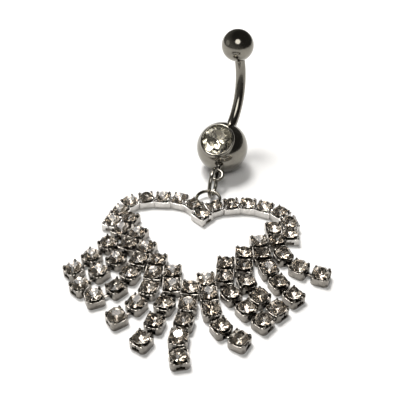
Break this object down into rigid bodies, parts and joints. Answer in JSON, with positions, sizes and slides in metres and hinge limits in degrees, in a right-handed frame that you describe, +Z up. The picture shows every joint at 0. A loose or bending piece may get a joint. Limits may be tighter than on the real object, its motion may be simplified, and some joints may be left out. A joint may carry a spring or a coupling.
{
  "type": "navel ring",
  "caption": "Curved barbell navel ring whose lower ball holds a clear gem and carries a heart-shaped dangle of square stone cups with short loose cup-chain strands.",
  "frame": {"origin": "on the table, under the middle of the cup in the heart's notch", "axes": "+Z up from the table; +Y from the strands towards the barbell, along the dangle's length; +X to the right as seen from the strands"},
  "size_m": [0.036, 0.0509, 0.02],
  "materials": {
    "polished_steel": "polished",
    "cup_metal": "plated, bright",
    "clear_gem": "faceted, clear, foiled back",
    "small_stone": "faceted, foiled back"
  },
  "bodies": {
    "root": {"top_ball": "polished_steel", "bar": "polished_steel", "gem": "clear_gem", "jump_ring": "polished_steel", "heart_frame": "cup_metal", "arm_stones": "small_stone", "band_stones": "small_stone", "strand_1": "cup_metal", "strand_2": "cup_metal", "strand_3": "cup_metal", "strand_4": "cup_metal", "strand_5": "cup_metal", "strand_6": "cup_metal", "strand_7": "cup_metal", "strand_8": "cup_metal", "strand_9": "cup_metal", "strand_10": "cup_metal", "strand_11": "cup_metal", "stones_1": "small_stone", "stones_2": "small_stone", "stones_3": "small_stone", "stones_4": "small_stone", "stones_5": "small_stone", "stones_6": "small_stone", "stones_7": "small_stone", "stones_8": "small_stone", "stones_9": "small_stone", "stones_10": "small_stone", "stones_11": "small_stone"}
  },
  "joints": []
}
